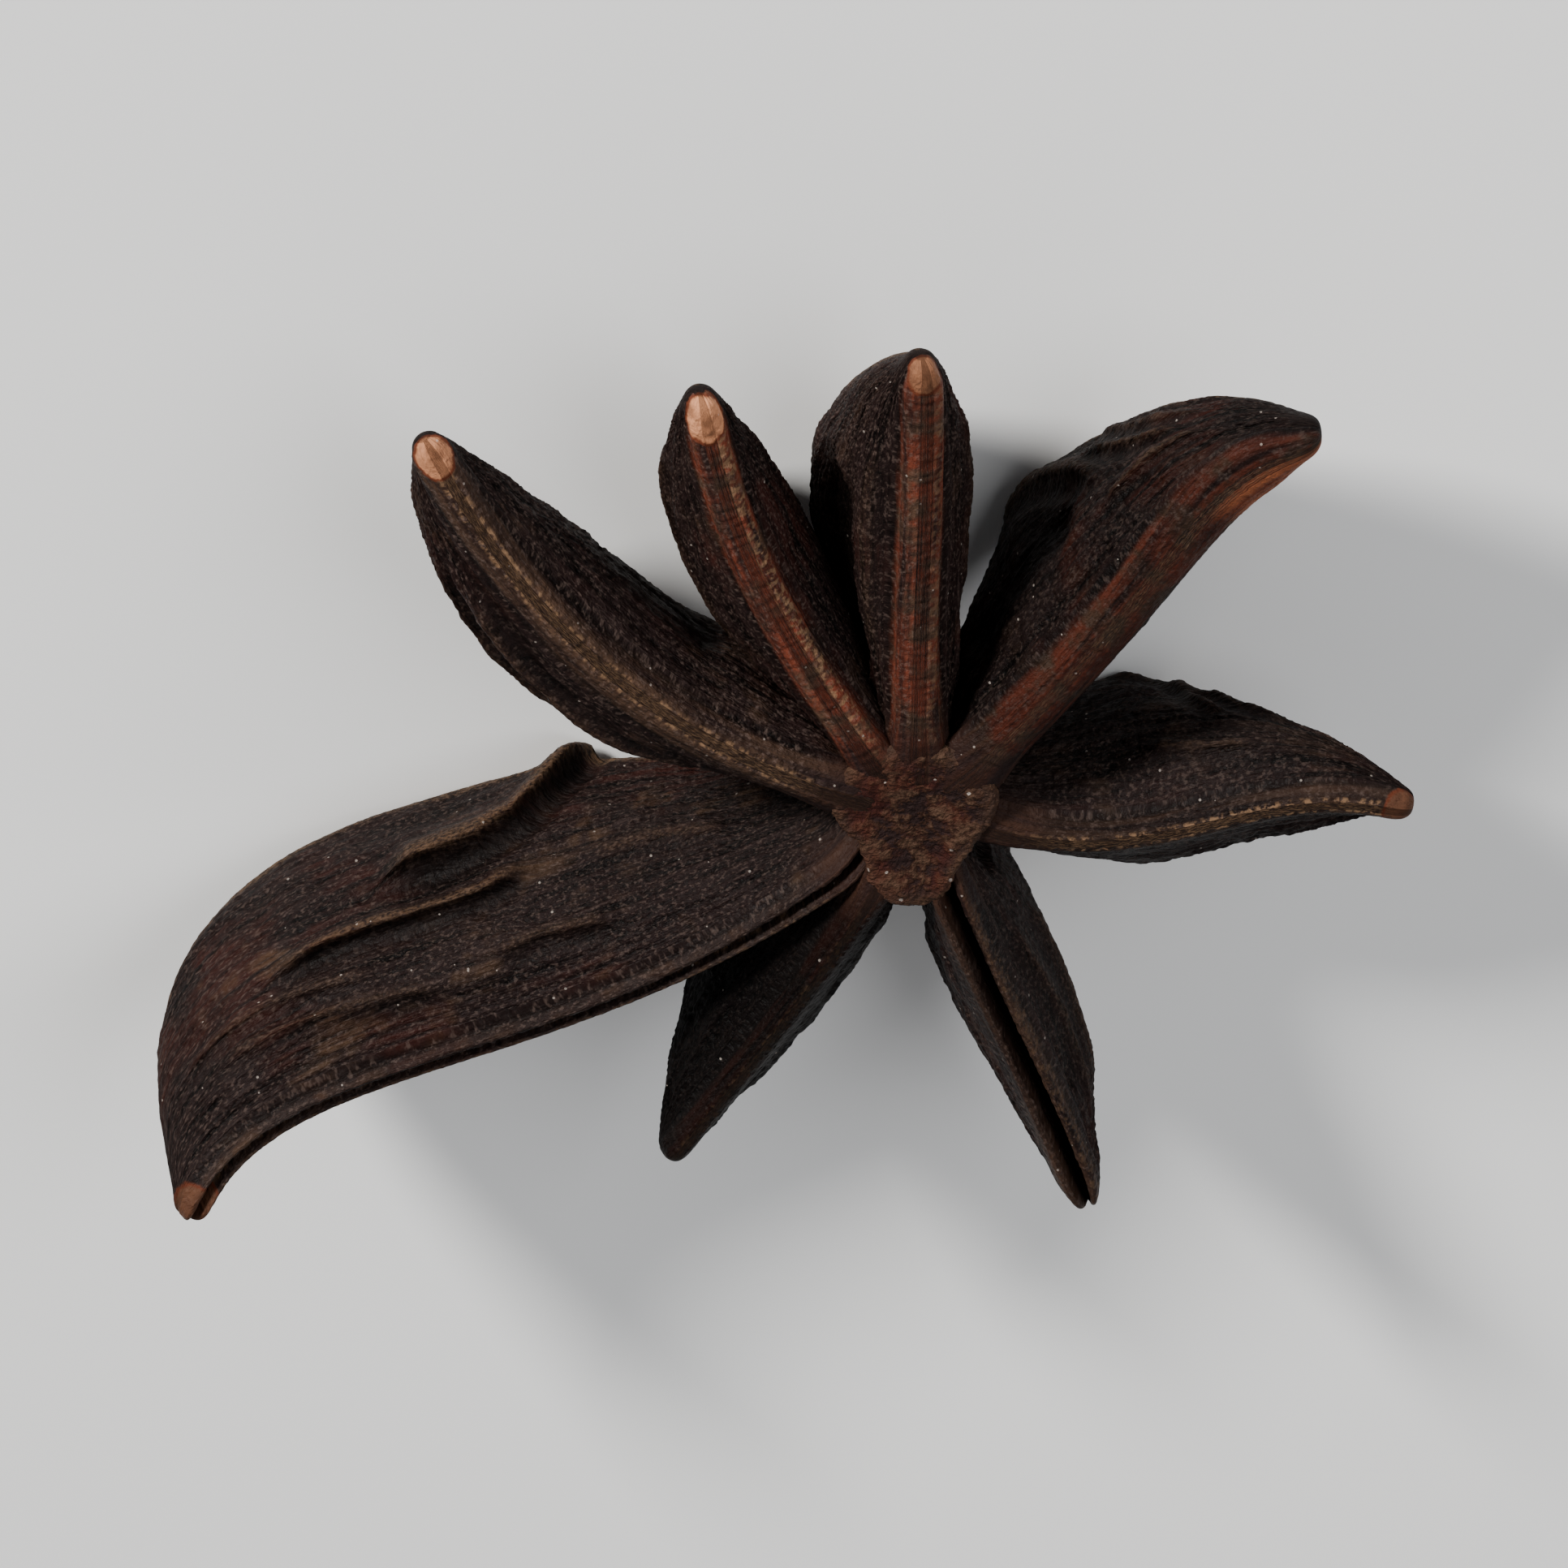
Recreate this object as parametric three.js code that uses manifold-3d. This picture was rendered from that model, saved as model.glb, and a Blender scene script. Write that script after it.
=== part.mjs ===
// A dried star anise pod: eight boat-shaped carpels fused round a short central column.
// Units are millimetres. +Z is up, the seams of the carpels face up, and the pod stands on
// the cut stub of its stalk and on the bellies of its carpels, which all reach z = 0.
import * as THREE from "three";
import { mergeVertices } from "three/addons/utils/BufferGeometryUtils.js";
import Module from "manifold-3d";

const wasm = await Module();
wasm.setup();

// Driving sizes of the whole pod
const seamHeight = 7.0; // the seams leave the column at this height
const columnRadius = 1.95;
const columnStretch = 1.3; // the plateau is longer along Y than along X
const columnShift = -0.25; // and reaches further towards -Y
const stalkRadius = 1.15;
const carpelRoot = 1.0; // a carpel starts this far from the axis, inside the column

// Driving sizes of a carpel's cross-section
const bandHalfWidth = 0.52; // the raised band along the seam
const bandDepth = 0.55;
const keelHalfWidth = 0.14;
const tipHalfWidth = 0.46;

// How finely the faces are laid
const stationPitch = 0.95;
const columnSegments = 24;

// One row for each carpel, anticlockwise from above. azimuth is where it leaves the column, bend
// moves its outer half sideways, hook only its tip, and twist makes the seam waver. arch lifts the
// middle of the seam, and beak its last part. belly is where along the carpel it is deepest, blunt
// how squarely its back ends, and end the depth that is left at the tip. slit is the half gap
// between the lips, and steps the number of faces down a flank. A fold runs from one place on a
// flank to another, each place given as the share of the length and the share of the depth.
const carpels = [
  {
    azimuth: 1, length: 12.3, depth: 7.2, width: 3.9, roll: -8, bend: -0.3, hook: 0, twist: -0.75,
    arch: -0.2, beak: 0.1, belly: 0.4, blunt: 1.05, end: 0.9, slit: 0.05, slitDepth: 0.3, steps: 7,
    folds: [
      { side: 1, from: [0.35, 0.84], to: [0.8, 0.66], spread: 0.09, height: 0.34 },
      { side: 1, from: [0.3, 0.52], to: [0.85, 0.4], spread: 0.07, height: -0.25 },
    ],
  },
  {
    azimuth: 51.5, length: 15.6, depth: 7.2, width: 3.5, roll: 6, bend: 2.0, hook: -2.0, twist: 0.05,
    arch: 0.3, beak: -0.2, belly: 0.4, blunt: 1.5, end: 1.4, slit: 0.05, slitDepth: 0.3, steps: 8,
    folds: [
      { side: 1, from: [0.3, 0.28], to: [0.95, 0.4], spread: 0.08, height: -0.36 },
      { side: 1, from: [0.45, 0.62], to: [0.95, 0.62], spread: 0.09, height: 0.34 },
    ],
  },
  {
    azimuth: 89, length: 14.9, depth: 7.05, width: 3.8, roll: 17, bend: 0.1, hook: 0, twist: 0.05,
    arch: 0.1, beak: 0.1, belly: 0.5, blunt: 1.35, end: 1.1, slit: 0.05, slitDepth: 0.25, steps: 6,
    folds: [
      { side: 1, from: [0.3, 0.28], to: [0.85, 0.36], spread: 0.1, height: -0.25 },
      { side: -1, from: [0.35, 0.5], to: [0.85, 0.6], spread: 0.1, height: 0.2 },
    ],
  },
  {
    azimuth: 119.5, length: 14.6, depth: 7.1, width: 3.3, roll: 12, bend: -2.1, hook: 0, twist: -0.05,
    arch: 0.15, beak: 0.1, belly: 0.46, blunt: 1.3, end: 1.1, slit: 0.05, slitDepth: 0.25, steps: 6,
    folds: [
      { side: 1, from: [0.3, 0.45], to: [0.9, 0.5], spread: 0.1, height: 0.25 },
      { side: -1, from: [0.3, 0.3], to: [0.8, 0.4], spread: 0.1, height: -0.22 },
    ],
  },
  {
    azimuth: 150.7, length: 16.6, depth: 7.15, width: 4.0, roll: 20, bend: -4.6, hook: 0, twist: 0.05,
    arch: 0.5, beak: 0, belly: 0.5, blunt: 1.35, end: 1.0, slit: 0.05, slitDepth: 0.3, steps: 7,
    folds: [
      { side: -1, from: [0.25, 0.3], to: [0.85, 0.4], spread: 0.09, height: -0.28 },
      { side: 1, from: [0.4, 0.4], to: [0.9, 0.5], spread: 0.09, height: 0.3 },
    ],
  },
  {
    azimuth: 223, length: 21.1, depth: 7.6, width: 4.2, roll: -22, bend: -7.7, hook: 3.4, twist: 0.1,
    arch: -0.2, beak: 2.2, belly: 0.62, blunt: 4.0, end: 1.0, slit: 0.11, slitDepth: 2.2, steps: 13,
    folds: [
      { side: -1, from: [0.34, 0.98], to: [0.8, 0.66], spread: 0.085, height: -0.45 },
      { side: -1, from: [0.42, 0.78], to: [0.86, 0.54], spread: 0.08, height: 0.36 },
      { side: -1, from: [0.44, 0.64], to: [0.74, 0.44], spread: 0.075, height: -0.32 },
      { side: 1, from: [0.3, 0.5], to: [0.8, 0.6], spread: 0.08, height: 0.35 },
    ],
  },
  {
    azimuth: 243.5, length: 12.5, depth: 7.05, width: 3.5, roll: -6, bend: -0.6, hook: 0, twist: 0.05,
    arch: 0, beak: 0.2, belly: 0.46, blunt: 1.8, end: 1.0, slit: 0.05, slitDepth: 0.3, steps: 6,
    folds: [
      { side: 1, from: [0.3, 0.35], to: [0.85, 0.5], spread: 0.1, height: 0.25 },
      { side: -1, from: [0.35, 0.55], to: [0.9, 0.62], spread: 0.1, height: -0.25 },
    ],
  },
  {
    azimuth: 289.5, length: 13.2, depth: 7.1, width: 2.9, roll: -5, bend: -0.1, hook: 0, twist: -0.05,
    arch: 0, beak: 0.2, belly: 0.46, blunt: 1.8, end: 1.1, slit: 0.2, slitDepth: 3.0, steps: 6,
    folds: [
      { side: 1, from: [0.3, 0.4], to: [0.85, 0.46], spread: 0.1, height: 0.25 },
      { side: -1, from: [0.35, 0.5], to: [0.9, 0.6], spread: 0.1, height: 0.25 },
    ],
  },
];

const radians = THREE.MathUtils.degToRad;
const smooth = (x) => THREE.MathUtils.smoothstep(x, 0, 1);

// Grows from root to 1 at the belly, then falls to 0 at the end, the later the blunter
function swell(along, root, belly, blunt) {
  if (along < belly) return root + (1 - root) * Math.sin(((along / belly) * Math.PI) / 2);
  const past = (along - belly) / (1 - belly);
  return Math.pow(Math.max(0, 1 - Math.pow(past, blunt)), 1 / (0.6 + 0.35 * blunt));
}

// Half-width of a flank as a share of its widest, at a share of the depth below the band
function flankShare(down) {
  return Math.pow(Math.sin(Math.PI * Math.pow(down, 0.85)), 0.62);
}

// How far a point of a flank moves outwards for the folds and slow waves of the dried skin
function relief(carpel, side, along, down) {
  let out = 0;
  for (const fold of carpel.folds) {
    if (fold.side !== side) continue;
    const span = [fold.to[0] - fold.from[0], fold.to[1] - fold.from[1]];
    const reach = span[0] * span[0] + span[1] * span[1];
    const offset = [along - fold.from[0], down - fold.from[1]];
    const place = (offset[0] * span[0] + offset[1] * span[1]) / reach;
    const across = (offset[1] * span[0] - offset[0] * span[1]) / Math.sqrt(reach);
    const ends = smooth(place * 4) * smooth((1 - place) * 4);
    out += fold.height * ends * Math.exp(-((across / fold.spread) ** 2));
  }
  const phase = carpel.azimuth * 0.7 + side;
  const waves =
    Math.sin(along * 9 + down * 5 + phase) + Math.sin(along * 5 - down * 11 + phase * 2);
  return out + 0.07 * waves * smooth(along * 3) * smooth((1 - along) * 4);
}

// The cross-section at one station, from the bottom of the slit round one side to the keel
// and back up the other, as [sideways, down] pairs
function section(carpel, along) {
  const { depth: deepest, belly, blunt, end, steps } = carpel;
  const depth = end + (deepest - end) * swell(along, 0.52, belly, blunt);
  const spare = carpel.width / 2 - tipHalfWidth;
  const half = tipHalfWidth + spare * swell(along, 0.15, belly + 0.04, 1.8);
  const gap = carpel.slit * smooth(along * 6) * smooth((1 - along) * 8) + 0.02;
  const cleft = Math.min(carpel.slitDepth, depth * 0.45) * smooth((1 - along) * 10);
  const band = Math.min(bandHalfWidth + gap, half * 0.95 + gap);
  const neck = Math.min(bandDepth, depth * 0.4);
  const profile = (side) => {
    const points = [
      [gap, 0.05],
      [(gap + band) / 2, -0.06],
      [band, neck * 0.45],
      [band * 0.96, neck],
    ];
    for (let i = 1; i <= steps; i++) {
      const down = i / (steps + 0.35);
      const wide = band * 0.9 * (1 - down) ** 2 + half * flankShare(0.08 + 0.9 * down);
      const narrow = THREE.MathUtils.lerp(wide, keelHalfWidth, smooth((down - 0.82) / 0.18) * 0.6);
      const out = relief(carpel, side, along, down) * smooth((depth - end) / 2);
      const across = Math.max(keelHalfWidth, Math.min(narrow, half) + out);
      points.push([across, neck + (depth - neck) * down]);
    }
    return points.map(([across, down]) => [side * across, down]);
  };
  return [[0, 0.05 + cleft], ...profile(1), [0, depth], ...profile(-1).reverse()];
}

// How far the seam lies to the left of the carpel's own radius
function sway(carpel, along) {
  const out = Math.max(along, 0);
  return carpel.bend * out ** 2.5 + carpel.hook * out ** 8 + carpel.twist * Math.sin(along * 5.2);
}

// A closed surface from a row of rings with equal point counts, capped by a fan at each end
function loft(rings) {
  const count = rings[0].length;
  const points = [...rings.flat(), middle(rings[0]), middle(rings[rings.length - 1])];
  const first = points.length - 2;
  const last = points.length - 1;
  const faces = [];
  for (let i = 0; i < rings.length - 1; i++) {
    for (let j = 0; j < count; j++) {
      const a = i * count + j;
      const b = i * count + ((j + 1) % count);
      faces.push(a, a + count, b, b, a + count, b + count);
    }
  }
  const end = (rings.length - 1) * count;
  for (let j = 0; j < count; j++) {
    const next = (j + 1) % count;
    faces.push(first, j, next, last, end + next, end + j);
  }
  const geometry = new THREE.BufferGeometry().setFromPoints(points);
  geometry.setIndex(faces);
  return geometry;
}

function middle(ring) {
  return ring.reduce((sum, p) => sum.add(p), new THREE.Vector3()).divideScalar(ring.length);
}

// One carpel, from inside the column to its blunt tip
function carpelGeometry(carpel) {
  const stations = Math.round(carpel.length / stationPitch) + 2;
  const rings = [];
  for (let i = 0; i <= stations; i++) {
    const along = i / stations;
    const radius = THREE.MathUtils.lerp(carpelRoot, carpel.length, along);
    const roll = radians(carpel.roll) * smooth(along * 2.2);
    const ahead = sway(carpel, along + 0.01) - sway(carpel, along - 0.01);
    const heading = Math.atan2(ahead, 0.02 * (carpel.length - carpelRoot));
    const lift = carpel.arch * Math.sin(Math.PI * along) + carpel.beak * along ** 5;
    const seam = new THREE.Vector3(radius, sway(carpel, along), seamHeight + lift);
    const place = new THREE.Matrix4().makeRotationZ(heading).setPosition(seam);
    place.multiply(new THREE.Matrix4().makeRotationX(roll));
    rings.push(
      section(carpel, along).map(([across, down]) => {
        return new THREE.Vector3(0, across, -down).applyMatrix4(place);
      }),
    );
  }
  const tip = rings[stations];
  const heart = middle(tip);
  const nose = heart.clone().sub(middle(rings[stations - 1])).setLength(0.3);
  rings.push(tip.map((p) => p.clone().lerp(heart, 0.3).add(nose)));
  return loft(rings).rotateZ(radians(carpel.azimuth));
}

// The column: a lobed plateau on top, a waist between the carpels, and the stalk's stub
function columnGeometry() {
  const outline = [
    [0, 0],
    [stalkRadius * 0.96, 0],
    [stalkRadius, 0.5],
    [stalkRadius * 1.05, 1.3],
    [columnRadius * 1.3, 2.4],
    [columnRadius * 1.3, 3.4],
    [columnRadius * 0.85, 4.8],
    [columnRadius * 0.9, seamHeight - 0.6],
    [columnRadius * 0.98, seamHeight - 0.15],
    [columnRadius * 0.84, seamHeight + 0.1],
    [columnRadius * 0.45, seamHeight + 0.02],
    [0, seamHeight - 0.02],
  ].map(([radius, height]) => new THREE.Vector2(radius, height));
  const geometry = new THREE.LatheGeometry(outline, columnSegments).rotateX(Math.PI / 2);
  const position = geometry.getAttribute("position");
  for (let i = 0; i < position.count; i++) {
    const x = position.getX(i);
    const y = position.getY(i);
    const turn = Math.atan2(y, x);
    const lobes = carpels.map((carpel) => {
      const apart = turn - radians(carpel.azimuth);
      return Math.exp(-((Math.atan2(Math.sin(apart), Math.cos(apart)) / 0.22) ** 2));
    });
    const high = smooth((position.getZ(i) - 3) / 3);
    const grow = 1 + 0.08 * high * Math.max(...lobes);
    const stretch = 1 + (columnStretch - 1) * high;
    position.setXY(i, x * grow, y * grow * stretch + columnShift * high);
  }
  return geometry;
}

// A closed geometry as a manifold-3d solid
function solid(geometry) {
  const bare = geometry.index ? geometry.toNonIndexed() : geometry.clone();
  for (const name of Object.keys(bare.attributes)) {
    if (name !== "position") bare.deleteAttribute(name);
  }
  const merged = mergeVertices(bare, 1e-4);
  const vertProperties = new Float32Array(merged.getAttribute("position").array);
  const triVerts = new Uint32Array(merged.index.array);
  return new wasm.Manifold(new wasm.Mesh({ numProp: 3, vertProperties, triVerts }));
}

function geometryOf(manifold) {
  const { vertProperties, triVerts } = manifold.getMesh();
  const geometry = new THREE.BufferGeometry();
  geometry.setAttribute("position", new THREE.BufferAttribute(vertProperties, 3));
  geometry.setIndex(new THREE.BufferAttribute(triVerts, 1));
  geometry.computeVertexNormals();
  return geometry;
}

// The carpels are joined to the column, and the bellies are pressed flat where they rest
let pod = solid(columnGeometry());
for (const carpel of carpels) pod = pod.add(solid(carpelGeometry(carpel)));
const floorBlock = new THREE.BoxGeometry(80, 80, 10).translate(0, 0, -5);
pod = pod.subtract(solid(floorBlock));

const huskMaterial = new THREE.MeshStandardMaterial({
  color: new THREE.Color(0.23, 0.165, 0.14),
  roughness: 0.72,
  metalness: 0,
});

const podMesh = new THREE.Mesh(geometryOf(pod), huskMaterial);
podMesh.name = "star_pod";

const starAnise = new THREE.Group();
starAnise.add(podMesh);

export default starAnise;
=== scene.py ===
# A whole dried star anise pod: eight boat-shaped carpels round a short column, seams up.
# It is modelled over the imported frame. Lengths are in metres, and +Z is up.
import math

import bmesh
import bpy
import numpy as np
from mathutils import Matrix, Vector


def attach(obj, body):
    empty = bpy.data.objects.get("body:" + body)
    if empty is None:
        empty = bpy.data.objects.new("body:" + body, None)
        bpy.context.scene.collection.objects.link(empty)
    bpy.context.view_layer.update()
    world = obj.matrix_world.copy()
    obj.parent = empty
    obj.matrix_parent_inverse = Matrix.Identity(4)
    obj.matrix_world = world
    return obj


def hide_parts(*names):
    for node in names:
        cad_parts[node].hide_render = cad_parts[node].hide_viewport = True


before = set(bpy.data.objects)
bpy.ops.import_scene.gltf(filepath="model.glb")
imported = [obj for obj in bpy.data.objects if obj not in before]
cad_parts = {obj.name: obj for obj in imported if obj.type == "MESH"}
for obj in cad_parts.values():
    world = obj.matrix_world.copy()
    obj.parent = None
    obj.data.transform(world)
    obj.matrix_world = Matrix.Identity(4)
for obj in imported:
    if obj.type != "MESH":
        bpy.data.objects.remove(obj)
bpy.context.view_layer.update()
mm = 0.001

# The pod as a whole, as in the solid it stands for
pod = {
    "seamHeight": 7.0 * mm,  # the seams leave the column at this height
    "root": 1.0 * mm,  # a carpel starts this far from the axis, inside the column
    "tipHalf": 0.46 * mm,  # half the width at the end
    "rootDepth": 0.52,  # share of the full depth at the root
    "rootWidth": 0.15,  # and of the full width there
    "widthLag": 0.04,  # the widest place lies this share of the length beyond the deepest one
    "widthBlunt": 1.8,  # how bluntly the width ends
    "rootReach": 1.7 * mm,  # the seam dips over this length at the root
    "flareReach": 2.72 * mm,  # the band widens over this one, by the share flare
    "flare": 0.45,
    "nose": [(0.24, 0.8), (0.38, 0.5)],  # beyond the end: how far, in mm, and how much it shrinks
}

# The ring that every carpel is drawn out of, from the slit down one side to the keel.
# Lip points are (sideways, down) in mm. A closed seam is a band with
# steep sides, a soft one a rounded ridge, and an open one has two lips.
section = {
    "closed": [(0.17, -0.05), (0.33, 0.0), (0.44, 0.10), (0.50, 0.24), (0.51, 0.40), (0.62, 0.45)],
    "soft": [(0.17, -0.05), (0.34, -0.01), (0.48, 0.07), (0.60, 0.17), (0.72, 0.29), (0.84, 0.42)],
    "open": [(0.08, 0.10), (0.16, 0.0), (0.30, -0.05), (0.42, 0.05), (0.46, 0.22), (0.58, 0.36)],
    "bandHalf": 0.6,  # half the width of a band of scale 1, in mm
    "neck": 0.42 * mm,  # the flank starts this far below the seam
    "lipShare": 0.1,  # the lips take this share of the way from the slit to the keel
    "bandEnd": 0.105,  # the band beside the seam ends at this share
    "flankPoints": 9,
    "stationsPerMm": 1.85,
    "smoothing": 3,
}

# One row for each carpel, anticlockwise from above. Angles are in degrees and lengths in mm.
# side is 1 for the flank on the anticlockwise side and -1 for the other. A fold follows a path of
# places on a flank, (share of the length, share of the depth). It falls off over back towards the
# keel and over front towards the seam, where a crease of its own runs beside it, with painted
# shade in it. A fold of negative height sinks in, and dark is the share of painted shade on it.
# bend, hook and twist sway the seam sideways, and arch, beak and dip lift or lower it. seam names
# a ring, band scales its width, and slit is the depth between the lips. scar is (how far its
# middle lies from the end, half its length, half its width), beads is (place, half width, share)
# across the band. torn is a share, and so are pale, shade, lipMix, red and ochre. shade dims most
# of a carpel's colours, partly as the husk's own tone and partly as painted shade, most of all on
# carpelShaded, carpelWedge and carpelRight. What a row leaves out is as in usualCarpel, and what a
# fold leaves out is as in usualFold.
usualCarpel = dict(hook=0, twist=0.05, slit=-0.06, dip=0.16, torn=0, taper=0.1, scar=None)
usualFold = dict(back=0.3, front=0.24, crease=0, dark=0)
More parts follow.
